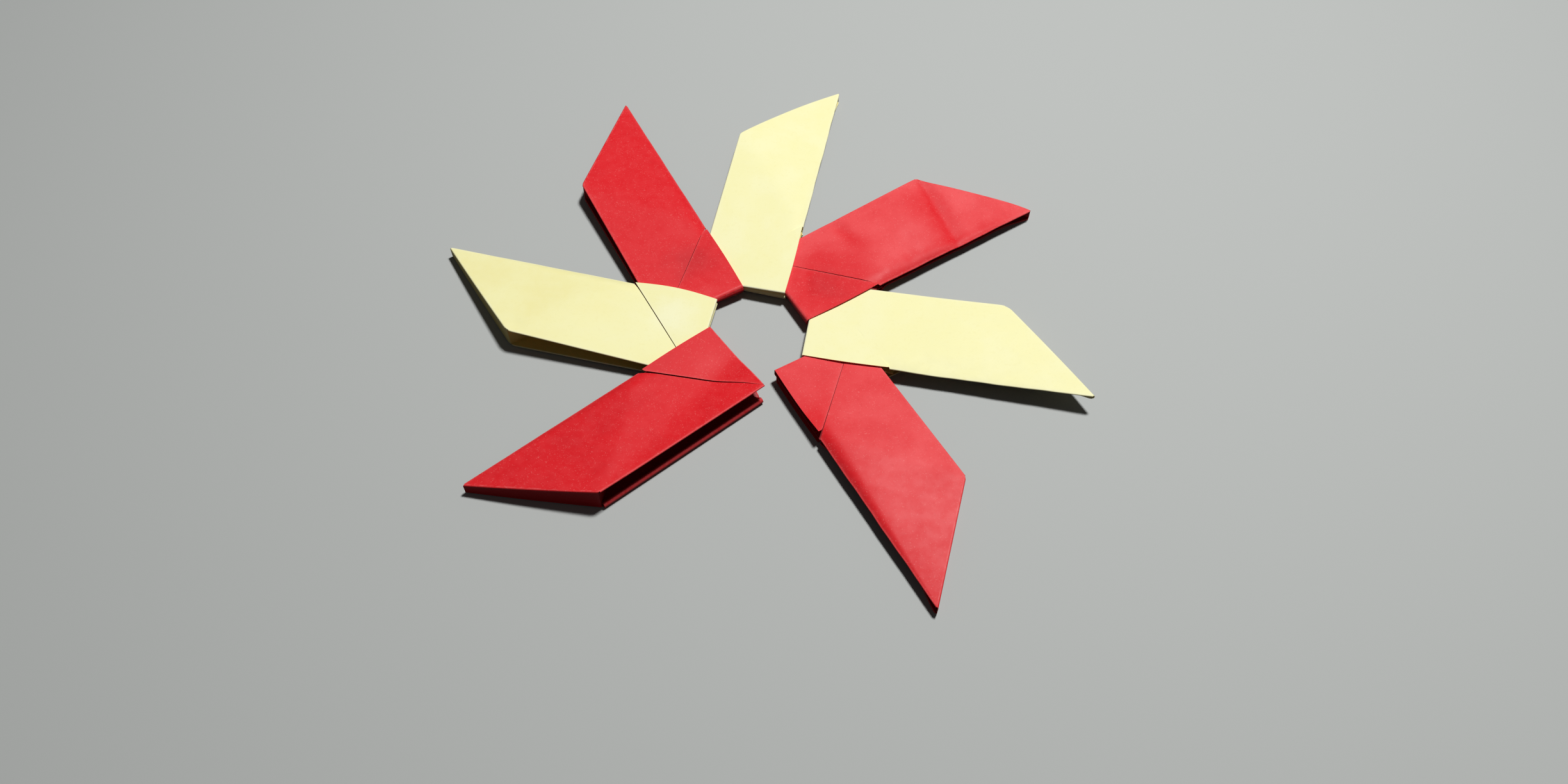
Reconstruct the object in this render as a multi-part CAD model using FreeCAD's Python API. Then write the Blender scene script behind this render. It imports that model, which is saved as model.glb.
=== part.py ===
import FreeCAD, Part
import math
import os
from FreeCAD import Vector

os.makedirs("parts", exist_ok=True)

# The sheet of paper that every arm is folded from, and its creases
sheet_width = 74.0
sheet_length = 105.0
paper = 0.2
spine_length = 34.0
flap_short = 1.15

# The round back of a fold, as a share of the paper's thickness
fold_share = 0.95

# How neighbours fit: the air round a leg, and how far a hub corner stands into the hole
leg_play = 0.12
hub_step = 2 * paper

# Turn from each arm to the next, clockwise from the lower left, and the hub edge left in sight there
turns = [51.6, 48.4, 40.6, 46.3, 41.3, 49.5]
hub_shown = [8.9, 8.1, 11.2, 10.6, 11.0, 8.5]
first_direction = 219.3

# Heights of the upper leaf over the middle plane, at the outer tip and at the shoulder
tip_rise = 1.2
shoulder_rise = 4.1
free_shoulder_rise = 5.6

# The soft fold along the leading edge of a leaf: two gentle bends, wide at the corner and nil at the tip
roll_widths = [3.2, 1.4]
roll_slopes = [0.20, 0.35]

# The narrow slit between a leaf's cut edge and the flap, and the blunt tip of the flap
slit = 0.45
tab_cut = 1.2

# The free legs of the first arm spring apart, and the free flap of the last arm springs up
free_leg_slope_upper = 0.28
free_leg_slope_lower = 0.10
free_tab_length = 8.0
free_tab_slope = 0.15

# The pressed edge that joins the two floors of the hub along the leading edge
hem_width = 1.0

# The underside flaps stay this far off the table
underside_clear = 0.3

# The outer edge of a leg leaves its pocket at this share of the climb from the leg to the shoulder
edge_share = 0.3

# Distances and areas below these count as nothing: mm, shares of an edge, and square mm
touching = 1e-9
same_share = 1e-6
least_area = 0.01

names = ["red_arm_lower_left", "yellow_arm_left", "red_arm_upper_left", "yellow_arm_top",
         "red_arm_upper_right", "yellow_arm_right", "red_arm_lower_right"]

# Lengths that follow from the creases of the sheet
diagonal = math.sqrt(0.5)
strip_width = spine_length * diagonal
leaf_length = sheet_width * diagonal
spare_length = sheet_length - sheet_width / 2 - spine_length
hub_length = spare_length * diagonal - flap_short

# Heights that follow from the paper and the play, so that each leg lies free in its pocket
least_share = min(hub_shown) / strip_width
leg_step = (paper + leg_play) / least_share
leg_rise = 2 * paper + leg_step
flap_rise = leg_rise + leg_step
flap_corner_rise = leg_rise + edge_share * (shoulder_rise - leg_rise) + paper + leg_play
rest_height = flap_rise + underside_clear

# Corners of an arm seen from above: u runs outwards along the leading edge, n towards the trailing edge
corner = (0.0, 0.0)
tip = (leaf_length, 0.0)
shoulder = (leaf_length - strip_width, strip_width)
leg = (-hub_length, strip_width)
hub_corner = (-hub_length, 0.0)


def flat(first, second, third):
    """Coefficients of the plane through three points given as (u, n, height)"""
    u1 = second[0] - first[0]
    n1 = second[1] - first[1]
    h1 = second[2] - first[2]
    u2 = third[0] - first[0]
    n2 = third[1] - first[1]
    h2 = third[2] - first[2]
    size = u1 * n2 - u2 * n1
    along = (h1 * n2 - h2 * n1) / size
    across = (u1 * h2 - u2 * h1) / size
    return (first[2] - along * first[0] - across * first[1], along, across)


def at(point, height):
    return (point[0], point[1], height)


def bend(start, end, slope):
    """A crease from start to end: what lies to its right climbs by slope for each mm from it"""
    run = math.hypot(end[0] - start[0], end[1] - start[1])
    right = ((end[1] - start[1]) / run, (start[0] - end[0]) / run)
    return (start, right, slope)


def beyond(crease, point):
    start, right, slope = crease
    return (point[0] - start[0]) * right[0] + (point[1] - start[1]) * right[1]


def height(surface, point):
    plane, creases = surface
    result = plane[0] + plane[1] * point[0] + plane[2] * point[1]
    for crease in creases:
        result += crease[2] * max(0.0, beyond(crease, point))
    return result


def crossing(crease, first, second):
    one = beyond(crease, first)
    two = beyond(crease, second)
    share = one / (one - two)
    return (first[0] + share * (second[0] - first[0]), first[1] + share * (second[1] - first[1]))


def side_of(outline, crease, sign):
    """The part of a convex outline that lies on one side of a crease"""
    kept = []
    for index, point in enumerate(outline):
        before = outline[index - 1]
        here = sign * beyond(crease, point)
        there = sign * beyond(crease, before)
        if here * there < -touching:
            kept.append(crossing(crease, before, point))
        if here >= -touching:
            kept.append(point)
    return kept


def area(outline):
    total = 0.0
    for index, point in enumerate(outline):
        before = outline[index - 1]
        total += before[0] * point[1] - point[0] * before[1]
    return abs(total) / 2


def pieces(outline, creases):
    """A convex outline cut into flat pieces along its creases"""
    cells = [outline]
    for crease in creases:
        halves = []
        for cell in cells:
            halves += [side_of(cell, crease, 1), side_of(cell, crease, -1)]
        cells = [half for half in halves if len(half) > 2 and area(half) > least_area]
    return cells


def slab(corners, thrust):
    return Part.Face(Part.makePolygon(corners + [corners[0]])).extrude(thrust)


def panel(surface, outline, layers, side):
    """A facet of paper, as thick as its layers, with its outer face at the surface"""
    solids = []
    for cell in pieces(outline, surface[1]):
        corners = [Vector(point[0], point[1], side * height(surface, point)) for point in cell]
        solids.append(slab(corners, Vector(0, 0, -side * layers * paper)))
    return solids


def stations(start, end, creases):
    """A straight edge with the points where creases cross it"""
    shares = [0.0, 1.0]
    for crease in creases:
        one = beyond(crease, start)
        two = beyond(crease, end)
        share = one / (one - two) if one * two < -touching else 0.0
        if min(abs(share - known) for known in shares) > same_share:
            shares.append(share)
    return [(start[0] + share * (end[0] - start[0]), start[1] + share * (end[1] - start[1]))
            for share in sorted(shares)]


def fold(surface, start, end, side):
    """The round back of a fold, along an edge of a surface"""
    solids = []
    points = stations(start, end, surface[1])
    for first, second in zip(points, points[1:]):
        foot = Vector(first[0], first[1], side * (height(surface, first) - paper))
        head = Vector(second[0], second[1], side * (height(surface, second) - paper))
        solids.append(Part.makeCylinder(fold_share * paper, foot.distanceToPoint(head), foot, head - foot))
    return solids


def wall(top, bottom, start, end, inwards):
    """Upright paper between two heights, where bottom may lie on the other side of the middle"""
    solids = []
    points = stations(start, end, top[0][1] + bottom[0][1])
    for first, second in zip(points, points[1:]):
        corners = []
        for point, (surface, sign, drop) in ((first, bottom), (second, bottom), (second, top), (first, top)):
            corners.append(Vector(point[0], point[1], sign * (height(surface, point) - drop)))
        solids.append(slab(corners, inwards * paper))
    return solids


def surfaces(tip_height, shoulder_height, corner_height, flap_corner, leg_slope, tab_slope):
    """The five facets of one side of an arm: two of the leaf, the flap and the two floors under them"""
    rolls = []
    for width, slope in zip(roll_widths, roll_slopes):
        rolls.append(bend((0.0, width), tip, -slope))
    lift = []
    if leg_slope:
        lift.append(bend((strip_width, strip_width), (-hub_length, strip_width / 2), leg_slope))
    tab = []
    if tab_slope:
        tab.append(bend((-free_tab_length, 0.0), (-free_tab_length, strip_width), tab_slope))
    top_leg = at(leg, leg_rise)
    low_leg = at(leg, leg_rise - paper)
    low_corner = at(corner, paper)
    return {
        "main": (flat(at(tip, tip_height), at(shoulder, shoulder_height), at(corner, corner_height)), rolls),
        "tail": (flat(at(shoulder, shoulder_height), top_leg, at(corner, corner_height)), rolls + lift),
        "flap": (flat(at(corner, flap_corner), at(hub_corner, flap_rise), top_leg), lift + tab),
        "groove": (flat(low_corner, at(shoulder, shoulder_height - paper), low_leg), lift),
        "hub": (flat(low_corner, at(hub_corner, paper), low_leg), lift)}


def half_arm(parts, side):
    """Everything on one side of the middle plane"""
    solids = panel(parts["main"], [tip, shoulder, corner], 2, side)
    solids += panel(parts["tail"], [shoulder, leg, corner], 1, side)
    solids += panel(parts["groove"], [corner, shoulder, leg], 1, side)
    solids += panel(parts["hub"], [corner, leg, hub_corner], 1, side)
    run = math.hypot(hub_length, strip_width)
    set_back = slit * run / strip_width
    cut_edge = bend((-set_back, 0.0), (-hub_length - set_back, strip_width), 0)
    blunt = bend((-tab_cut, strip_width), (-tab_cut, 0.0), 0)
    outline = side_of(side_of([corner, leg, hub_corner], cut_edge, -1), blunt, 1)
    solids += panel(parts["flap"], outline, 1, side)
    solids += wall((parts["flap"], side, 0.0), (parts["hub"], side, paper), hub_corner, leg, Vector(1, 0, 0))
    solids += fold(parts["tail"], shoulder, leg, side)
    solids += fold(parts["main"], corner, tip, side)
    solids += fold(parts["main"], tip, shoulder, side)
    return solids


def hem():
    """The pressed edge where the upper and the lower floor of the hub meet"""
    outline = [hub_corner, corner, (-hem_width, hem_width), (-hub_length, hem_width)]
    return slab([Vector(point[0], point[1], -paper) for point in outline], Vector(0, 0, 2 * paper))


def arm(name):
    """One folded sheet, in its own place: u along X, n along Y, middle plane at Z = 0"""
    first = name == names[0]
    last = name == names[-1]
    upper_shoulder = free_shoulder_rise if first else shoulder_rise
    upper = surfaces(tip_rise, upper_shoulder, flap_corner_rise + paper, flap_corner_rise,
                     free_leg_slope_upper if first else 0, free_tab_slope if last else 0)
    lower = surfaces(rest_height, rest_height, rest_height, flap_rise,
                     free_leg_slope_lower if first else 0, 0)
    solids = half_arm(upper, 1) + half_arm(lower, -1)
    spine_in = Vector(-diagonal, -diagonal, 0)
    solids += wall((upper["main"], 1, 0.0), (lower["main"], -1, 0.0), tip, shoulder, spine_in)
    run = math.hypot(shoulder[0], shoulder[1])
    outwards = Vector(shoulder[1] / run, -shoulder[0] / run, 0)
    solids += wall((upper["groove"], 1, 0.0), (lower["groove"], -1, 0.0), corner, shoulder, outwards)
    solids.append(hem())
    return solids[0].multiFuse(solids[1:]).removeSplitter()


def placed(name, spot, direction):
    shape = arm(name)
    shape.rotate(Vector(0, 0, 0), Vector(0, 0, 1), direction)
    shape.translate(Vector(spot[0], spot[1], rest_height))
    return shape


def turned(point, direction):
    angle = math.radians(direction)
    return (point[0] * math.cos(angle) - point[1] * math.sin(angle),
            point[0] * math.sin(angle) + point[1] * math.cos(angle))


# Each arm takes its place from the hub corner of the arm before it
spot = (0.0, 0.0)
direction = first_direction
arms = {names[0]: placed(names[0], spot, direction)}
places = {names[0]: (spot, direction)}
for name, turn, shown in zip(names[1:], turns, hub_shown):
    reach = turned(hub_corner, direction)
    held = (spot[0] + reach[0], spot[1] + reach[1])
    direction -= turn
    seat = turned((-hub_length - hub_step, shown), direction)
    spot = (held[0] - seat[0], held[1] - seat[1])
    arms[name] = placed(name, spot, direction)
    places[name] = (spot, direction)

# The origin lies under the middle of the star, on the table
box = FreeCAD.BoundBox()
for shape in arms.values():
    box.add(shape.BoundBox)
centre = Vector(-box.Center.x, -box.Center.y, -box.ZMin)
for name, shape in arms.items():
    shape.translate(centre)
    shape.exportStep("parts/" + name + ".step")
    (x, y), direction = places[name]
    print(name, "corner at", round(x + centre.x, 3), round(y + centre.y, 3), "direction", round(direction, 1),
          "solids", len(shape.Solids), "valid", shape.isValid(), "volume", round(shape.Volume, 1))
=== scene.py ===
import math

import bmesh
import bpy
import numpy as np
from mathutils import Matrix, Vector


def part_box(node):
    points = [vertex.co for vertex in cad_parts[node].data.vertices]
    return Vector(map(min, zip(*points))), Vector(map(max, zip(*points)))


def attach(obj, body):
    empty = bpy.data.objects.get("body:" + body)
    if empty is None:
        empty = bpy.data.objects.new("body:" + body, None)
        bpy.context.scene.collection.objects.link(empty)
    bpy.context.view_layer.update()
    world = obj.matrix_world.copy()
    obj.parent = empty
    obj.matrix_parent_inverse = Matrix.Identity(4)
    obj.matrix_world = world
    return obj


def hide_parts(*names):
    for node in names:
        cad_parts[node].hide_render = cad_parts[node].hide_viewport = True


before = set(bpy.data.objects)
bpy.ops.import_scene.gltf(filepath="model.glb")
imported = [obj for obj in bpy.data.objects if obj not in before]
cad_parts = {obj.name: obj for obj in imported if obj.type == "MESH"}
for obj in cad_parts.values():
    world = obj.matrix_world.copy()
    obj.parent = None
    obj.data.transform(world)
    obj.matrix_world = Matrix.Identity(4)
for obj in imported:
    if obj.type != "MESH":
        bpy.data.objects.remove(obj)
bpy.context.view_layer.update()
print("frame loaded:", len(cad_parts), "folded sheets")

metre = 0.001  # lengths below are in millimetres
diagonal = math.sqrt(0.5)  # the sheets are folded at 45 degrees

# The sheet that every arm is folded from, and how far its layers stand off the middle plane of the ring.
# Pairs hold the value of the upper and of the lower half. An arm that names a value itself goes by its own.
sheet = {
    "width": 74.0,
    "spine": 34.0,
    "spare": 34.0,
    "flapShort": 1.15,
    "paper": 0.2,
    "foldRadius": 0.15,
    "trailRadius": 0.15,
    "edgeRadius": 0.3,
    "hubRadius": 0.3,
    "legRise": 1.35,
    "flapRise": 2.30,
    "cornerRise": 2.70,
    "flapCornerRise": 2.50,
    "tipRise": 1.2,
    "shoulderRise": 4.1,
    "restHeight": 2.60,
    "tabCut": 1.2,
    "tabSlope": 0,
    "flapEnd": 0.985,
    "flapBulge": 0.2,
    "underInset": [0, 1.2],
    "underHub": [0, 1.0],
    "ridgeSoftness": 0.10,
    "roll": 1.15,
    "legLift": [0, 0],
    "legCut": [0, 0],
    "tipLift": [0, 0],
    "tipCut": 0,
    "shoulderIn": 0,
}
stripWidth = sheet["spine"] * diagonal
leafLength = sheet["width"] * diagonal
hubLength = sheet["spare"] * diagonal - sheet["flapShort"]
shoulderU = leafLength - stripWidth
halfPaper = sheet["paper"] / 2

# The seven arms clockwise from the open place. Dents are soft hollows: place along and across the arm,
# half widths, turn in degrees and depth. Creases are soft valleys: start, end, half width of the flank on
# the inner and on the outer side, and depth. Tone runs from -1, darker, to 1, paler, and its patches
# are written as dents are. Tone is partly the paper's own and partly painted light: paler arms and patches
# are painted glare, and darker patches at creases, dents, flaps and rolled edges are painted shade.
# A tip lift raises the outer end of a leaf, a leg lift springs a free leg open, and a leg cut is how far
# its tip is pressed back.
arms = [
    {"node": "red_arm_lower_left", "piece": "folded_red_lower_left", "slot": "red_paper",
     "direction": 219.3,
     "shoulderRise": 5.6, "legLift": [0.28, 0.10], "legCut": [0.7, 1.7], "trailRadius": [0.18, 0.85],
     "bow": 0.15, "corner": 0.012, "wave": 0.02, "slit": 0.50, "hubEdge": -0.15, "underHub": [0, 0.1],
     "dents": [(14, 9, 14, 6, 10, 0.22), (-12, 16, 8, 4, 30, 0.08)],
     "creases": [],
     "toneAndPaintedLight": -0.10,
     "patches": [(21, 12, 15, 10, 0, -0.15), (-15, 8, 9, 8, 0, 0.30)]},
    {"node": "yellow_arm_left", "piece": "folded_yellow_left", "slot": "yellow_paper",
     "direction": 167.7,
     "shoulderRise": 5.0, "shoulderIn": 1.1, "tabCut": 0.1, "flapBulge": 0.9,
     "bow": 0.10, "corner": 0.035, "wave": 0.04, "slit": 0.30, "hubEdge": -0.60,
     "dents": [(24, 12, 9, 6, 20, 0.14), (25.5, 21.5, 2.2, 1.6, 0, 0.16), (3, 12, 6, 9, 0, 0.14)],
     "creases": [],
     # the paler patch on the flap is painted light
     "toneAndPaintedLight": -0.35,
     "patches": [(-13, 8, 10, 10, 0, 0.95), (2, 18, 12, 8, 0, 0.40)]},
    {"node": "red_arm_upper_left", "piece": "folded_red_upper_left", "slot": "red_paper",
     "direction": 119.3,
     "flapCornerRise": 2.60, "hubRadius": 0.8,
     "bow": 0.0, "corner": 0.012, "wave": 0.03, "slit": 0.10, "hubEdge": 0.30,
     "dents": [(20, 13, 12, 7, -20, 0.12), (-14, 8, 5, 3.5, 40, 0.12)],
     "creases": [],
     # the darker patch on the flap is painted shade
     "toneAndPaintedLight": -0.05,
     "patches": [(3, 7, 9, 8, 0, 0.25), (-8, 9, 6, 9, 0, -0.55), (-19, 9, 5, 8, 0, 0.30)]},
    {"node": "yellow_arm_top", "piece": "folded_yellow_top", "slot": "yellow_paper",
     "direction": 78.7,
     "flapCornerRise": 2.70, "tabCut": 0.1, "roll": 0.5,
     "bow": 0.80, "corner": 0.012, "wave": 0.05, "slit": 0.0, "hubEdge": -0.85,
     "dents": [(30, 9, 10, 5, 35, 0.18), (8, 14, 9, 6, -10, 0.16)],
     "creases": [((2, 6), (-13, 20), 1.6, 1.6, 0.07)],
     "toneAndPaintedLight": 0.25,
     "patches": [(-17, 12, 4, 9, 0, -0.30)]},
    {"node": "red_arm_upper_right", "piece": "folded_red_upper_right", "slot": "red_paper",
     "direction": 32.4,
     "flapCornerRise": 2.55, "hubRadius": 0.8, "tabCut": 0.3, "tipCut": 1.6, "roll": 0.8,
     "bow": 0.05, "corner": 0.012, "wave": 0.04, "slit": 0.16, "hubEdge": 0.30,
     "dents": [(19, 12, 6, 8, 0, -0.30), (36, 8, 5, 5, 0, 0.15), (1.0, 20.5, 1.8, 3.4, 10, 0.30)],
     "creases": [((28.6, 22.6), (26.0, 1.0), 1.7, 3.2, 0.85), ((-14.0, 15.0), (-21.5, 1.0), 1.3, 1.3, 0.14),
                 ((17.0, 21.0), (11.0, 3.0), 2.0, 2.4, 0.16)],
     # this arm's paleness is painted glare, and its darker patches are painted shade in the crease, near the
     # small dent, on the flap and along the rolled leading edge
     "toneAndPaintedLight": 0.62,
     "patches": [(28.8, 11, 2.4, 12, -6, -0.75), (23.0, 12, 3.0, 9, -6, -0.25), (1.5, 18, 2.2, 6, 10, -0.40),
                 (-12, 7, 9, 9, 0, -1.15), (16, 0, 24, 3.0, 0, -0.90)]},
    {"node": "yellow_arm_right", "piece": "folded_yellow_right", "slot": "yellow_paper",
     "direction": -8.9,
     "flapCornerRise": 2.70, "shoulderRise": 3.2, "tipLift": [2.7, 5.2], "tabCut": 0.4, "roll": 0.35,
     "bow": 0.30, "corner": 0.045, "wave": 0.04, "slit": 0.0, "hubEdge": -0.10, "underInset": [0, 2.6],
     "dents": [(4, 10, 5, 4, 20, 0.16), (20, 16, 12, 4, 10, 0.12), (14, 2.5, 8, 2, 0, 0.15)],
     "creases": [((-8, 3), (8, 21), 2.0, 2.0, 0.09)],
     "toneAndPaintedLight": 0.20,
     "patches": [(6, 8, 7, 5, 20, -0.25)]},
    {"node": "red_arm_lower_right", "piece": "folded_red_lower_right", "slot": "red_paper",
     "direction": -58.4,
     "tabSlope": 0.12,
     "bow": 0.0, "corner": 0.015, "wave": 0.04, "slit": 0.16, "hubEdge": 0.0,
     "dents": [(16, 11, 11, 6, 10, 0.14), (-14, 9, 5, 5, 0, 0.10)],
     "creases": [],
     # this arm's paleness and its pale patch are painted glare, and its darker patches are painted shade at
     # the tip, along the rolled leading edge and on the flap
     "toneAndPaintedLight": 0.50,
     "patches": [(47, 1, 6, 5, 0, -0.60), (14, 0, 26, 3.2, 0, -0.95), (-15, 9, 9, 9, 0, -0.25),
                 (22, 12, 10, 7, 0, 0.25)]},
]


def own(arm, name, side=1):
    # an arm's own value or else the sheet's, and of a pair the one for this half
    value = arm.get(name, sheet[name])
    return value[0 if side > 0 else 1] if isinstance(value, list) else value


def planeThrough(first, second, third):
    # height over the arm's plane as start + along * u + across * n, from three corners (u, n, height)
    rows = np.array([[1.0, corner[0], corner[1]] for corner in (first, second, third)])
    return np.linalg.solve(rows, np.array([corner[2] for corner in (first, second, third)]))


def onPlane(plane, u, n):
    # height of such a plane at a place: start + along * u + across * n
    return plane[0] + plane[1] * u + plane[2] * n


def softLower(first, second, softness):
    # the lower of two surfaces, with the ridge between them rounded: -k log(exp(-a/k) + exp(-b/k))
    return -softness * np.logaddexp(-first / softness, -second / softness)


def spread(count, crowding):
    # steps from 0 to 1 that crowd towards both ends, where the folds are: part even, part half a cosine wave
    steps = np.linspace(0.0, 1.0, count)
    return (1 - crowding) * steps + crowding * (0.5 - 0.5 * np.cos(np.pi * steps))


# How the marks of the hands fade out, in millimetres, powers and shares of the arm
hands = {
    "creaseFade": 0.8,
    "creaseRound": 0.05,
    "liftStart": 8.0,
    "liftEnd": 1.1,
    "liftPower": 1.3,
    "liftTrail": 0.5,
    "pressReach": 4,
    "pressPower": 4,
    "rollWidth": 4.0,
    "rollLeast": 0.25,
    "rollOver": 1.3,
    "rollPower": 2.2,
    "tabFold": 8.0,
    "tabSoftness": 0.8,
}


def bell(u, n, dent):
    # a hollow with a smooth rim: depth * exp(-(x/a)^2 - (y/b)^2) in axes turned by the dent's angle
    centreU, centreN, halfU, halfN, turn, depth = dent
    angle = math.radians(turn)
    x = (u - centreU) * math.cos(angle) + (n - centreN) * math.sin(angle)
    y = (n - centreN) * math.cos(angle) - (u - centreU) * math.sin(angle)
    return depth * np.exp(-(x / halfU) ** 2 - (y / halfN) ** 2)


def valley(u, n, crease):
    # a pressed line: depth * exp(-(distance / half width of that flank)), fading over its ends
    (startU, startN), (endU, endN), innerHalf, outerHalf, depth = crease
    run = math.hypot(endU - startU, endN - startN)
    alongU, alongN = (endU - startU) / run, (endN - startN) / run
    x = (u - startU) * alongU + (n - startN) * alongN
    y = (n - startN) * alongU - (u - startU) * alongN
    fade = 1 / (1 + np.exp(-x / hands["creaseFade"])) / (1 + np.exp((x - run) / hands["creaseFade"]))
    distance = np.sqrt(y ** 2 + hands["creaseRound"])
    return depth * np.exp(-distance / np.where(y > 0, outerHalf, innerHalf)) * fade


def handWork(u, n, arm):
    # what the hands left in the paper, as a loss of height: the dents and creases of this arm
    loss = sum(bell(u, n, dent) for dent in arm["dents"]) + 0 * u
    return loss + sum(valley(u, n, crease) for crease in arm["creases"])


def toneAndPaintedLightAt(u, n, arm):
    # painted light on the paper, partly its own tone: paler above 0 is painted glare, darker below 0 is
    # painted shade, from the arm's tone and its soft patches
    return np.clip(arm["toneAndPaintedLight"] + sum(bell(u, n, patch) for patch in arm["patches"]) + 0 * u, -1, 1)


def tipSpring(u, n, arm, side):
    # a tip that stands off the floor: lift * (share of the way to the tip)^power, less at the trailing edge
    way = np.clip((u - hands["liftStart"]) / (leafLength - hands["liftStart"]), 0, hands["liftEnd"])
    trail = 1 - hands["liftTrail"] * n / stripWidth
    return side * own(arm, "tipLift", side) * way ** hands["liftPower"] * trail


def legSpring(u, n, arm, side):
    # free legs spring apart: slope times the distance beyond a soft crease across the leg
    fromU, fromN, toU, toN = stripWidth, stripWidth, -hubLength, stripWidth / 2
    run = math.hypot(toU - fromU, toN - fromN)
    beyond = ((u - fromU) * (toN - fromN) + (n - fromN) * (fromU - toU)) / run
    return own(arm, "legLift", side) * np.logaddexp(0, beyond)


def legPress(u, n, arm, side):
    # free legs pressed back at their tips: cut * exp(-(distance from the hub edge / reach)^2), and that
    # times (share of the way across the arm)^power
    fade = np.exp(-((u + hubLength) / hands["pressReach"]) ** 2)
    return own(arm, "legCut", side) * fade * np.clip(n / stripWidth, 0, 1) ** hands["pressPower"]


def leafHeight(u, n, arm, side):
    # outer face of a leaf over the middle plane: two flat facets with a soft ridge between them, less the
    # handwork and the rolled leading edge, which takes off roll * (share of the arm that is left) times
    # (1 - n / width of the roll)^power
    tipRise = cornerRise = shoulderRise = sheet["restHeight"]
    if side > 0:
        tipRise, cornerRise, shoulderRise = sheet["tipRise"], sheet["cornerRise"], own(arm, "shoulderRise")
    corner = (0, 0, cornerRise)
    shoulder = (shoulderU, stripWidth, shoulderRise)
    outer = planeThrough(corner, (leafLength, 0, tipRise), shoulder)
    inner = planeThrough(corner, shoulder, (-hubLength, stripWidth, sheet["legRise"]))
    height = softLower(onPlane(outer, u, n), onPlane(inner, u, n), sheet["ridgeSoftness"])
    width = np.maximum(hands["rollWidth"] * (1 - u / leafLength), hands["rollLeast"])
    depth = own(arm, "roll") * np.clip(1 - u / leafLength, 0, 1)
    height = height - depth * np.clip(1 - n / width, 0, hands["rollOver"]) ** hands["rollPower"]
    if side > 0:
        height = height - handWork(u, n, arm)
    return height + legSpring(u, n, arm, side) + tipSpring(u, n, arm, side)


def floorHeight(u, n, arm, side):
    # pocket floor of a leg and of the hub: two facets that climb from the leading edge to the trailing edge
    shoulderRise = own(arm, "shoulderRise") if side > 0 else sheet["restHeight"]
    corner = (0, 0, sheet["paper"])
    leg = (-hubLength, stripWidth, sheet["legRise"] - sheet["paper"])
    groove = planeThrough(corner, (shoulderU, stripWidth, shoulderRise - sheet["paper"]), leg)
    hub = planeThrough(corner, (-hubLength, 0, sheet["paper"]), leg)
    cutEdge = u * stripWidth + n * hubLength  # above 0 on the leg, below 0 on the hub
    height = np.where(cutEdge > 0, onPlane(groove, u, n), onPlane(hub, u, n))
    return height + legSpring(u, n, arm, side) + tipSpring(u, n, arm, side)


def flapHeight(u, n, arm, side):
    # outer face of the corner flap that is folded over the hub: one facet, whose free corner may stand up
    plane = planeThrough((0, 0, own(arm, "flapCornerRise")), (-hubLength, 0, sheet["flapRise"]),
                         (-hubLength, stripWidth, sheet["legRise"]))
    height = onPlane(plane, u, n) + legSpring(u, n, arm, side)
    if side > 0:
        beyond = np.logaddexp(0, (u + hands["tabFold"]) / hands["tabSoftness"]) * hands["tabSoftness"]
        height = height + own(arm, "tabSlope") * beyond - handWork(u, n, arm)
    return height


# How the edges of a leaf leave their straight lines, in powers, millimetres and shares of the way from the
# spine to the cut edge
edges = {
    "insetPower": 8,
    "insetStart": 0.02,
    "insetGrow": 0.15,
    "insetEnd": 0.06,
    "bowPower": 6,
    "pullPower": 4,
    "waves": [(1.0, 0.31, 1.7), (0.5, 0.83, 0.6)],  # height, turns in radians a millimetre, start
    "wavePower": 12,
    "waveGrow": 6,
    "waveEnd": 8,
    "bluntReach": 4,
}


def plan(s, t, arm, side=1):
    # place on a leaf: s runs from the leading to the trailing edge, t from the spine to the cut edge.
    # The shoulder is rounded by the square-to-disc rule, the spine edge bows out by 4 s (1 - s), the leading
    # edge waves as two sines, and the lower leaf's leading edge lies further in.
    grow = np.clip((t - edges["insetStart"]) / edges["insetGrow"], 0, 1)
    grow = grow * np.clip((1 - t) / edges["insetEnd"], 0, 1)
    inset = own(arm, "underInset", side) * (1 - s) ** edges["insetPower"] * grow
    share = arm["corner"]
    p = np.clip((s - (1 - share)) / share, 0, 1)
    q = np.clip((share - t) / share, 0, 1)
    s = np.where(p > 0, 1 - share + share * p * np.sqrt(1 - q ** 2 / 2), s)
    t = np.where(q > 0, share - share * q * np.sqrt(1 - p ** 2 / 2), t)
    u = (1 - t) * (leafLength - s * stripWidth) - t * hubLength * s
    n = s * stripWidth
    fromCut = np.clip(1 - t, 0, 1)
    bow = arm["bow"] * 4 * s * (1 - s) * fromCut ** edges["bowPower"] * diagonal
    wave = sum(rise * np.sin(u * turns + start) for rise, turns, start in edges["waves"])
    wave = arm["wave"] * wave * (1 - s) ** edges["wavePower"]
    ends = np.clip(u / edges["waveGrow"], 0, 1) * np.clip((leafLength - u) / edges["waveEnd"], 0, 1)
    blunt = own(arm, "tipCut") * np.exp((u - leafLength) / edges["bluntReach"])
    pull = own(arm, "shoulderIn") * s * fromCut ** edges["pullPower"]  # a spine folded a little off its line
    return u + bow - blunt - pull, n + bow + wave * ends + inset


# Rows and columns of each patch, how they crowd towards the folds, and the reach of the softer bends
weave = {
    "leafRows": 76,
    "leafColumns": 44,
    "rowCrowding": 0.5,
    "edgeCrowding": 0.55,
    "crowding": 0.4,
    "innerColumns": 12,
    "innerReach": 0.86,
    "foldSteps": 6,
    "grooveColumns": 18,
    "grooveBend": 1.5,
    "spineSteps": 16,
    "spineSlack": 0.18,
    "reverseRows": 40,
    "reverseColumns": 10,
    "flapRows": 56,
    "flapColumns": 34,
    "cutPower": 4,
    "cutSoftness": 0.12,
    "hubShare": 0.4,
    "bendShare": 0.5,
    "bulgePower": 6,
    "hubSteps": 12,
    "hubRoom": 2.0,
    "floorColumns": 14,
    "floorPast": 1.5,
    "floorLeast": 0.05,
}
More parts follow.
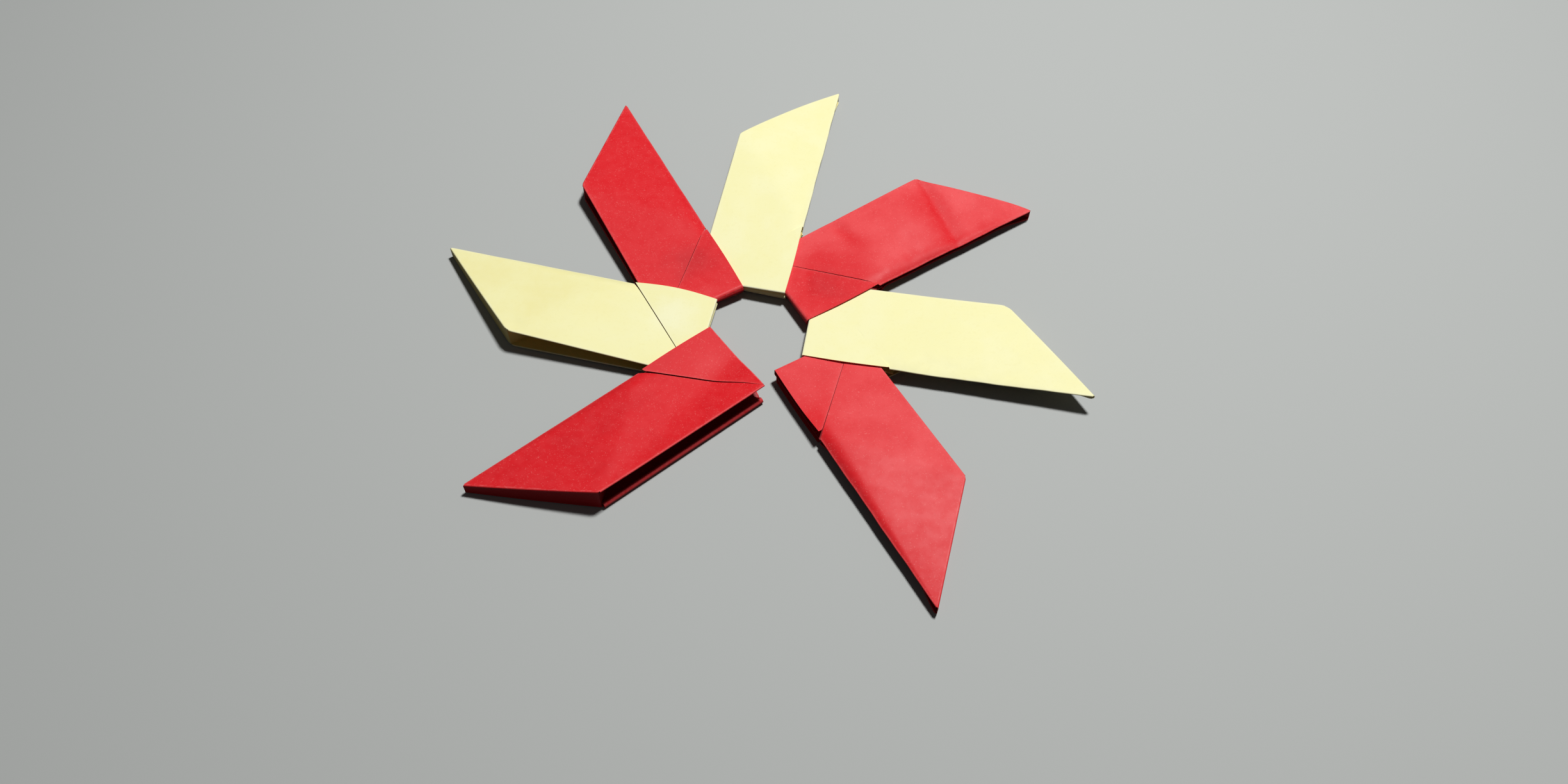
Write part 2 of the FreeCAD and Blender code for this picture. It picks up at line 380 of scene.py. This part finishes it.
# Wear with a painted highlight on the folds, above 0, and painted shade on walls and pockets, a deeper
# colour, below 0, with how fast each fades
rubbingAndPaintedLight = {
    "fold": 0.5,
    "foldReach": 0.25,
    "rimWearAndHighlight": 0.8,
    "rimTurn": 0.5,
    "paintedSpineWallShade": -0.6,
    "pocket": -1,
    "cut": 0.6,
    "cutReach": 0.3,
    "paintedHubWallShade": -0.7,
    "hubTopWearAndHighlight": 1.4,
    "hubFootWearAndHighlight": 1.2,
    "hubFade": 9,
}


def leafPatch(arm, side):
    # inner layer, leading fold, leaf, trailing fold and groove floor as one grid, with rows from the spine
    # to the cut edge. A fold is half a circle of its radius between the layers that it joins.
    radius = sheet["foldRadius"]
    setBack = sheet["edgeRadius"] / (leafLength * diagonal)
    t = (setBack + (1 - setBack) * spread(weave["leafRows"], weave["rowCrowding"]))[:, None]
    leafS = spread(weave["leafColumns"], weave["edgeCrowding"])[None, :] + 0 * t
    leafU, leafN = plan(leafS, t, arm, side)
    leafZ = leafHeight(leafU, leafN, arm, side) - halfPaper

    innerS = weave["innerReach"] * (1 - t) * np.linspace(1, 0, weave["innerColumns"])[None, :]
    innerU, innerN = plan(innerS, t, arm, side)
    innerZ = leafHeight(innerU, innerN, arm, side) - halfPaper - 2 * radius

    turn = np.linspace(0, np.pi, weave["foldSteps"] + 2)[None, 1:-1]
    leadU = leafU[:, :1] + 0 * turn
    leadN = leafN[:, :1] - radius * np.sin(turn)
    leadZ = leafZ[:, :1] - radius * (1 + np.cos(turn))
    curl = own(arm, "trailRadius", side)
    trailU = leafU[:, -1:] + 0 * turn
    trailN = leafN[:, -1:] + curl * np.sin(turn)
    trailZ = leafZ[:, -1:] - curl * (1 - np.cos(turn))

    valleyS = (1 - t) * leafLength / (shoulderU + (1 - t) * stripWidth + t * hubLength)
    grooveS = 1 - (1 - valleyS) * spread(weave["grooveColumns"], weave["crowding"])[None, :]
    grooveU, grooveN = plan(grooveS, t, arm, side)
    grooveZ = floorHeight(grooveU, grooveN, arm, side) - halfPaper
    near = np.exp(-(1 - grooveS) * stripWidth / weave["grooveBend"])
    grooveZ = grooveZ * (1 - near) + (leafZ[:, -1:] - 2 * curl) * near

    u = np.hstack([innerU, leadU, leafU, trailU, grooveU])
    n = np.hstack([innerN, leadN, leafN, trailN, grooveN])
    z = np.hstack([innerZ, leadZ, leafZ, trailZ, grooveZ])
    # the folds get wear and a painted highlight that fade away from them; the inner layer and the groove
    # floor get painted shade
    fromFold = np.minimum(leafS, 1 - leafS) * stripWidth
    leafFoldWearAndHighlight = rubbingAndPaintedLight["fold"] * np.exp(-fromFold / rubbingAndPaintedLight["foldReach"])
    wearAndPaintedLight = np.hstack([rubbingAndPaintedLight["pocket"] + 0 * innerU, rubbingAndPaintedLight["fold"] + 0 * leadU, leafFoldWearAndHighlight,
                      rubbingAndPaintedLight["fold"] + 0 * trailU, rubbingAndPaintedLight["pocket"] + 0 * grooveU])
    return u, n, z, wearAndPaintedLight


def spinePatch(arm):
    # the spine: from the upper leaf round a quarter circle, down a slightly slack wall and round to the
    # lower leaf. The slack is half a sine wave down the wall times half a sine wave along it.
    radius = sheet["edgeRadius"]
    setBack = radius / (leafLength * diagonal)
    s = spread(weave["leafColumns"], weave["edgeCrowding"])[:, None]
    insideU, insideN = plan(s, setBack + 0 * s, arm)
    edgeU, edgeN = plan(s, 0 * s, arm)
    upper = leafHeight(insideU, insideN, arm, 1) - halfPaper
    lower = -(leafHeight(insideU, insideN, arm, -1) - halfPaper)
    quarter = np.linspace(0, np.pi / 2, weave["foldSteps"])[None, :]
    down = np.linspace(0, 1, weave["spineSteps"])[None, 1:-1]
    drop = radius * (1 - np.cos(quarter))
    wall = (upper - radius) * (1 - down) + (lower + radius) * down
    z = np.hstack([upper - drop, wall, (lower + drop)[:, ::-1]])
    reach = np.hstack([np.sin(quarter), 1 + 0 * down, np.sin(quarter)[:, ::-1]])
    belly = np.sin(np.pi * np.hstack([0 * quarter, down, 0 * quarter]))
    slack = weave["spineSlack"] * belly * np.sin(np.pi * s)
    u = insideU + (edgeU - insideU) * reach - slack
    n = insideN + (edgeN - insideN) * reach - slack
    # the rims get wear and a painted highlight, and the wall between them gets painted shade
    rimWearAndHighlight = rubbingAndPaintedLight["rimWearAndHighlight"] * np.exp(-quarter / rubbingAndPaintedLight["rimTurn"])
    wearAndPaintedLight = np.hstack([rimWearAndHighlight, rubbingAndPaintedLight["paintedSpineWallShade"] + 0 * down, rimWearAndHighlight[:, ::-1]])
    return u, n, z, wearAndPaintedLight + 0 * s


def reversePatch(arm):
    # the flat wall of the inside reverse fold, from the shoulder back to the corner between the floors
    along = spread(weave["reverseRows"], weave["crowding"])[:, None]
    startU, startN = plan(np.array(1.0), np.array(0.0), arm)
    u = startU * (1 - along)
    n = startN * (1 - along)
    upper = floorHeight(u, n, arm, 1) - halfPaper
    lower = -(floorHeight(u, n, arm, -1) - halfPaper)
    down = np.linspace(0, 1, weave["reverseColumns"])[None, :]
    z = upper * (1 - down) + lower * down
    # the whole wall gets painted shade
    return u + 0 * down, n + 0 * down, z, rubbingAndPaintedLight["pocket"] + 0 * z


def flapPatch(arm, side):
    # the corner flap, the hub edge and the hub floor as one grid, with rows from the hub corner towards
    # the leg. The hub edge is a quarter circle and a wall that leans by hubEdge times half a sine wave.
    setBack = arm["slit"] * math.hypot(hubLength, stripWidth) / stripWidth
    v = (sheet["flapEnd"] * spread(weave["flapRows"], weave["crowding"]))[:, None]
    n = v * stripWidth
    cut = -setBack * (1 - v ** weave["cutPower"]) - hubLength * v
    cut = softLower(cut, -own(arm, "tabCut") + 0 * v, weave["cutSoftness"])
    edgeU = -hubLength + np.minimum(own(arm, "underHub", side), weave["hubShare"] * (cut + hubLength))
    radius = np.minimum(own(arm, "hubRadius"), weave["bendShare"] * (cut - edgeU))
    across = spread(weave["flapColumns"], weave["crowding"])[None, :]
    flapU = cut + (edgeU + radius - cut) * across
    flapN = n - own(arm, "flapBulge") * np.sin(np.pi * across) * (1 - v) ** weave["bulgePower"]
    flapZ = flapHeight(flapU, flapN, arm, side) - halfPaper

    turn = np.linspace(0, np.pi / 2, weave["foldSteps"])[None, 1:]
    bendU = edgeU + radius * (1 - np.sin(turn))
    bendZ = flapZ[:, -1:] - radius * (1 - np.cos(turn))
    top = bendZ[:, -1:]
    foot = floorHeight(edgeU, n, arm, side) - halfPaper
    down = np.linspace(0, 1, weave["hubSteps"])[None, 1:]
    room = np.clip((top - foot) / weave["hubRoom"], 0, 1)
    wallU = edgeU - arm["hubEdge"] * np.sin(np.pi * down) * room
    wallZ = top * (1 - down) + foot * down
    floorU = edgeU + (cut + weave["floorPast"] - edgeU) * np.linspace(0, 1, weave["floorColumns"])[None, 1:]
    floorU = np.maximum(floorU, edgeU + weave["floorLeast"])
    floorN = n + 0 * floorU
    floorZ = floorHeight(floorU, floorN, arm, side) - halfPaper

    u = np.hstack([flapU, bendU, wallU, floorU])
    allN = np.hstack([flapN, n + 0 * bendU, n + 0 * wallU, floorN])
    z = np.hstack([flapZ, bendZ, wallZ, floorZ])
    # the hub bend and the top and foot of the hub wall get wear and a painted highlight, the middle of the
    # wall gets painted shade, and the hub floor gets painted shade
    cutWear = rubbingAndPaintedLight["cut"] if arm["slit"] > 0 else 0.0  # a cut edge that lies tight shows no worn line
    bendWearAndHighlight = sheet["edgeRadius"] / np.maximum(radius, sheet["edgeRadius"])
    wallWearHighlightAndShade = (rubbingAndPaintedLight["hubTopWearAndHighlight"] * np.exp(-down * rubbingAndPaintedLight["hubFade"])
                + rubbingAndPaintedLight["hubFootWearAndHighlight"] * np.exp(-(1 - down) * rubbingAndPaintedLight["hubFade"]) + rubbingAndPaintedLight["paintedHubWallShade"])
    wearAndPaintedLight = np.hstack([cutWear * np.exp(-(cut - flapU) / rubbingAndPaintedLight["cutReach"]), bendWearAndHighlight + 0 * bendU,
                      wallWearHighlightAndShade + 0 * wallU, rubbingAndPaintedLight["pocket"] + 0 * floorU])
    return u, allN, z, wearAndPaintedLight


def gridFaces(rows, columns, first):
    # four-sided faces of a grid whose vertices are numbered row by row from first
    index = first + np.arange(rows * columns).reshape(rows, columns)
    return np.stack([index[:-1, :-1], index[:-1, 1:], index[1:, 1:], index[1:, :-1]], -1).reshape(-1, 4)


def turnPlan(u, n, arm):
    # arm axes to ring axes: a turn by the arm's direction
    angle = math.radians(arm["direction"])
    return u * math.cos(angle) - n * math.sin(angle), u * math.sin(angle) + n * math.cos(angle)


def armPlace(arm):
    # the middle of the arm's outline is put on the middle of its node's box
    low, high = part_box(arm["node"])
    cornerU = np.array([0.0, leafLength, shoulderU, -hubLength, -hubLength])
    cornerN = np.array([0.0, 0.0, stripWidth, stripWidth, 0.0])
    x, y = turnPlan(cornerU, cornerN, arm)
    return ((low.x + high.x) / 2 - metre * (x.min() + x.max()) / 2,
            (low.y + high.y) / 2 - metre * (y.min() + y.max()) / 2)


# Points nearer to each other than this are joined, and edges that bend further than this stay sharp
finish = {
    "weldWithin": 0.012,
    "sharpFrom": 45,  # degrees
}


def weld(mesh):
    # joins the patches along their shared edges and points their faces outwards
    welder = bmesh.new()
    welder.from_mesh(mesh)
    bmesh.ops.remove_doubles(welder, verts=welder.verts, dist=finish["weldWithin"] * metre)
    bmesh.ops.recalc_face_normals(welder, faces=welder.faces)
    welder.to_mesh(mesh)
    welder.free()


def thicken(piece):
    # gives the welded sheet the paper's thickness and keeps its cut edges and tight folds sharp
    thin = piece.data
    body = piece.modifiers.new("paper", "SOLIDIFY")
    body.thickness = sheet["paper"] * metre
    body.offset = 0
    bpy.context.view_layer.update()
    thick = bpy.data.meshes.new_from_object(piece.evaluated_get(bpy.context.evaluated_depsgraph_get()))
    piece.modifiers.clear()
    piece.data = thick
    bpy.data.meshes.remove(thin)
    thick.name = piece.name
    thick.polygons.foreach_set("use_smooth", np.ones(len(thick.polygons), bool))
    thick.set_sharp_from_angle(angle=math.radians(finish["sharpFrom"]))


def foldArm(arm):
    # all patches of one arm as one sheet in its place on the ring, with its wear and tone, both carrying
    # painted light and shade, kept for the paper
    patches = []
    for side in (1, -1):
        for patch in (leafPatch, flapPatch):
            u, n, z, wearAndPaintedLight = patch(arm, side)
            patches.append((u + legPress(u, n, arm, side), n, side * z, wearAndPaintedLight))
    patches.append(spinePatch(arm))
    patches.append(reversePatch(arm))
    placeX, placeY = armPlace(arm)
    points, faces, wearAndPaintedLightValues, toneAndPaintedLightValues = [], [], [], []
    count = 0
    for u, n, z, wearAndPaintedLight in patches:
        x, y = turnPlan(u, n, arm)
        place = np.stack([placeX + metre * x, placeY + metre * y, metre * (z + sheet["restHeight"])], -1)
        points.append(place.reshape(-1, 3))
        faces.append(gridFaces(u.shape[0], u.shape[1], count))
        wearAndPaintedLightValues.append(wearAndPaintedLight.reshape(-1))
        toneAndPaintedLightValues.append(toneAndPaintedLightAt(u, n, arm).reshape(-1))
        count += u.size
    mesh = bpy.data.meshes.new(arm["piece"])
    mesh.from_pydata(np.concatenate(points).tolist(), [], np.concatenate(faces).tolist())
    for name, values in (("wearAndPaintedLight", wearAndPaintedLightValues), ("toneAndPaintedLight", toneAndPaintedLightValues)):
        layer = mesh.attributes.new(name, "FLOAT", "POINT")
        layer.data.foreach_set("value", np.concatenate(values).astype(np.float32))
    weld(mesh)
    piece = bpy.data.objects.new(arm["piece"], mesh)
    bpy.context.scene.collection.objects.link(piece)
    thicken(piece)
    return piece


class Wire:
    # a socket that can be reckoned with: every operator adds its own Math node
    def __init__(self, book, socket):
        self.book = book
        self.socket = socket

    def reckon(self, operation, first, second):
        return self.book.node("ShaderNodeMath", {"operation": operation}, {0: first, 1: second})

    def __add__(self, other):
        return self.reckon("ADD", self, other)

    def __sub__(self, other):
        return self.reckon("SUBTRACT", self, other)

    def __rsub__(self, other):
        return self.reckon("SUBTRACT", other, self)

    def __mul__(self, other):
        return self.reckon("MULTIPLY", self, other)

    __radd__ = __add__
    __rmul__ = __mul__

    def band(self, low, high):
        # 0 below low, 1 above high, smooth between
        return self.book.node("ShaderNodeMapRange", {"interpolation_type": "SMOOTHSTEP"},
                              {"Value": self, "From Min": low, "From Max": high})

    def size(self):
        # the value without its sign
        return self.book.node("ShaderNodeMath", {"operation": "ABSOLUTE"}, {0: self})


class Book:
    # a material's nodes, added one call at a time
    def __init__(self, name):
        self.material = bpy.data.materials.new(name)
        self.material.use_nodes = True
        self.tree = self.material.node_tree
        self.tree.nodes.clear()

    def node(self, kind, settings=None, sockets=None, out=0):
        # one node of any kind: its settings first, then the values or links of its sockets
        made = self.tree.nodes.new(kind)
        for key, value in (settings or {}).items():
            setattr(made, key, value)
        for key, value in (sockets or {}).items():
            if isinstance(value, Wire):
                self.tree.links.new(value.socket, made.inputs[key])
            else:
                made.inputs[key].default_value = value
        return Wire(self, made.outputs[out]) if len(made.outputs) else None

    def mix(self, share, first, second):
        # a colour between two: the Mix node's colour sockets are its inputs 6 and 7 and its output 2
        return self.node("ShaderNodeMix", {"data_type": "RGBA"}, {0: share, 6: first, 7: second}, 2)


# The deeper colour is partly painted shade and the paler one partly painted glare, beside the paper's own
# tones; the rubbed colour is wear with a painted highlight, and the darkest colour is painted shade in walls
# and pockets
paperLooks = {
    "red_paper": {
        "body": (0.74, 0.014, 0.020, 1),
        "deepAndPaintedShade": (0.56, 0.010, 0.016, 1),
        "paleAndPaintedGlare": (0.86, 0.080, 0.085, 1),
        "wornAndHighlight": (0.93, 0.24, 0.24, 1),
        "fibre": (0.93, 0.26, 0.24, 1),
        "fleck": (0.56, 0.010, 0.014, 1),
        "pocket": (0.36, 0.004, 0.008, 1),
        "wearAndHighlightAmount": 0.40,
        "fibreAmount": 0.30,
        "speckAmount": 0.28,
        "fleckAmount": 0.10,
        "roughness": 0.46,
    },
    "yellow_paper": {
        "body": (0.93, 0.89, 0.47, 1),
        "deepAndPaintedShade": (0.90, 0.82, 0.36, 1),
        "paleAndPaintedGlare": (0.95, 0.93, 0.60, 1),
        "wornAndHighlight": (0.96, 0.95, 0.72, 1),
        "fibre": (0.95, 0.93, 0.66, 1),
        "fleck": (0.84, 0.76, 0.34, 1),
        "pocket": (0.80, 0.62, 0.18, 1),
        "wearAndHighlightAmount": 0.60,
        "fibreAmount": 0.12,
        "speckAmount": 0.10,
        "fleckAmount": 0.10,
        "roughness": 0.52,
    },
}
# Noise patterns in the paper: scale in waves a metre, detail, and the band from no mark to a full one
paperMarks = {
    "cloud": (110.0, 3.0, 0.30, 0.70),
    "mottle": (420.0, 2.0, 0.30, 0.75),
    "strandPlace": (1500.0, 0.0, 0.60, 0.66),
    "speck": (3200.0, 0.0, 0.73, 0.80),
    "fleck": (1300.0, 0.0, 0.66, 0.72),
    "rub": (1100.0, 2.0, 0.20, 0.55),
}
paperSurface = {
    "grainScale": 5200.0,
    "grainDetail": 2.0,
    "strandScale": 1900.0,
    "strandMiddle": 0.5,
    "strandWidth": 0.035,
    "cloudTone": 0.35,
    "cloudMiddle": 0.5,
    "mottleFade": 0.12,
    "grainHeight": 0.5,
    "mottleHeight": 0.6,
    "fibreHeight": 0.4,
    "bumpStrength": 0.20,
    "bumpDistance": 0.00005,
    "mottleRough": 0.08,
    "specular": 0.22,
}


def paperMaterial(name, look):
    # dyed craft paper: slow cloudiness, fine grain, short curled fibres and specks paler than the sheet,
    # darker flecks, rubbed folds with a painted highlight, painted glare and shade from the tone attribute,
    # and painted shade in walls and pockets, a deeper colour there
    book = Book(name)
    place = book.node("ShaderNodeTexCoord", out="Object")

    def noise(scale, detail):
        return book.node("ShaderNodeTexNoise", {}, {"Vector": place, "Scale": scale, "Detail": detail})

    def mark(kind):
        scale, detail, low, high = paperMarks[kind]
        return noise(scale, detail).band(low, high)

    surface = paperSurface
    cloud = mark("cloud")
    mottle = mark("mottle")
    grain = noise(surface["grainScale"], surface["grainDetail"])
    # a fibre runs where a noise crosses its middle value, and only in some places
    strand = (noise(surface["strandScale"], 0.0) - surface["strandMiddle"]).size()
    fibre = (1 - strand.band(0.0, surface["strandWidth"])) * mark("strandPlace")
    wearAndPaintedLight = book.node("ShaderNodeAttribute", {"attribute_name": "wearAndPaintedLight"}, out="Fac")
    toneAndPaintedLight = book.node("ShaderNodeAttribute", {"attribute_name": "toneAndPaintedLight"}, out="Fac")
    toneAndPaintedLight = toneAndPaintedLight + surface["cloudTone"] * (cloud - surface["cloudMiddle"])

    # painted glare where the tone is above 0 and painted shade where it is below, with the cloudiness as the
    # paper's own tone
    colour = book.mix(toneAndPaintedLight.band(0.0, 1.0), look["body"], look["paleAndPaintedGlare"])
    colour = book.mix((0 - toneAndPaintedLight).band(0.0, 1.0), colour, look["deepAndPaintedShade"])
    colour = book.mix(mottle * surface["mottleFade"], colour, look["paleAndPaintedGlare"])
    colour = book.mix(mark("fleck") * look["fleckAmount"], colour, look["fleck"])
    colour = book.mix(fibre * look["fibreAmount"], colour, look["fibre"])
    colour = book.mix(mark("speck") * look["speckAmount"], colour, look["fibre"])
    # wear with a painted highlight on folds and hub walls, then painted shade in walls and pockets
    colour = book.mix(wearAndPaintedLight * mark("rub") * look["wearAndHighlightAmount"], colour, look["wornAndHighlight"])
    colour = book.mix((0 - wearAndPaintedLight).band(0.0, 1.0), colour, look["pocket"])
    height = grain * surface["grainHeight"] + mottle * surface["mottleHeight"]
    height = height + fibre * surface["fibreHeight"]
    bump = book.node("ShaderNodeBump", {}, {"Height": height, "Strength": surface["bumpStrength"],
                                            "Distance": surface["bumpDistance"]})
    rough = look["roughness"] + surface["mottleRough"] * mottle
    paper = book.node("ShaderNodeBsdfPrincipled", {}, {
        "Base Color": colour, "Roughness": rough, "Normal": bump, "Specular IOR Level": surface["specular"]})
    book.node("ShaderNodeOutputMaterial", {}, {"Surface": paper})
    return book.material


papers = {slot: paperMaterial(slot, look) for slot, look in paperLooks.items()}
print("papers mixed")
for arm in arms:
    piece = foldArm(arm)
    piece.data.materials.clear()
    piece.data.materials.append(papers[arm["slot"]])
    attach(piece, "root")
    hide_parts(arm["node"])
    print("folded", arm["piece"], len(piece.data.polygons), "faces")

# Floor, small lamp from the upper right and behind, and the camera where the photograph was taken, in metres
studio = {
    "floorSide": 3.0,
    "floorColour": (0.47, 0.485, 0.47, 1),
    "floorBounce": (0.10, 0.10, 0.10, 1),  # what the floor throws back up on to the paper
    "floorRoughness": 0.9,
    "skyColour": (1, 1, 1, 1),
    "skyStrength": 0.04,
    "lampPlace": (0.160, 0.180, 0.750),
    "lampSide": 0.10,
    "lampPower": 6.2,
}
camera = {
    "imageWidth": 2448.0,
    "focalPixels": 2074.0,
    "sensorWidth": 36.0,  # millimetres
    "place": (0.006515, -0.200380, 0.293167),
    "pitch": 58.499,  # degrees below the horizon
    "roll": 1.174,
    "nearest": 0.01,
    "furthest": 20,
}


def layFloor():
    # a plain card whose colour the camera sees, and which throws less light back on to the paper
    side = studio["floorSide"]
    mesh = bpy.data.meshes.new("floor")
    corners = [(-side, -side, 0), (side, -side, 0), (side, side, 0), (-side, side, 0)]
    mesh.from_pydata(corners, [], [(0, 1, 2, 3)])
    floor = bpy.data.objects.new("floor", mesh)
    bpy.context.scene.collection.objects.link(floor)
    book = Book("floor")
    seen = book.node("ShaderNodeLightPath", out="Is Camera Ray")
    shade = book.mix(seen, studio["floorBounce"], studio["floorColour"])
    card = book.node("ShaderNodeBsdfPrincipled", {}, {
        "Base Color": shade, "Roughness": studio["floorRoughness"]})
    book.node("ShaderNodeOutputMaterial", {}, {"Surface": card})
    mesh.materials.append(book.material)


def lightStudio():
    # a faint even sky and one lamp that points at the middle of the ring
    world = bpy.data.worlds.new("studio")
    world.use_nodes = True
    sky = world.node_tree.nodes["Background"]
    sky.inputs["Color"].default_value = studio["skyColour"]
    sky.inputs["Strength"].default_value = studio["skyStrength"]
    bpy.context.scene.world = world
    data = bpy.data.lights.new("lamp", "AREA")
    data.size = studio["lampSide"]
    data.energy = studio["lampPower"]
    lamp = bpy.data.objects.new("lamp", data)
    lamp.location = studio["lampPlace"]
    lamp.rotation_euler = Vector(studio["lampPlace"]).to_track_quat("Z", "Y").to_euler()
    bpy.context.scene.collection.objects.link(lamp)


def standCamera():
    # view direction, right and up from the pitch below the horizon and the roll, looking along +Y
    pitch, roll = math.radians(camera["pitch"]), math.radians(camera["roll"])
    ahead = Vector((0, math.cos(pitch), -math.sin(pitch)))
    level = Vector((1, 0, 0))
    over = Vector((0, math.sin(pitch), math.cos(pitch)))
    right = math.cos(roll) * level + math.sin(roll) * over
    up = -math.sin(roll) * level + math.cos(roll) * over
    data = bpy.data.cameras.new("camera")
    data.sensor_width = camera["sensorWidth"]
    data.lens = camera["focalPixels"] * camera["sensorWidth"] / camera["imageWidth"]
    data.clip_start = camera["nearest"]
    data.clip_end = camera["furthest"]
    eye = bpy.data.objects.new("camera", data)
    eye.matrix_world = Matrix((
        (right.x, up.x, -ahead.x, camera["place"][0]),
        (right.y, up.y, -ahead.y, camera["place"][1]),
        (right.z, up.z, -ahead.z, camera["place"][2]),
        (0, 0, 0, 1)))
    bpy.context.scene.collection.objects.link(eye)
    bpy.context.scene.camera = eye


layFloor()
lightStudio()
standCamera()
bpy.context.scene.view_settings.view_transform = "Standard"
print("studio set")
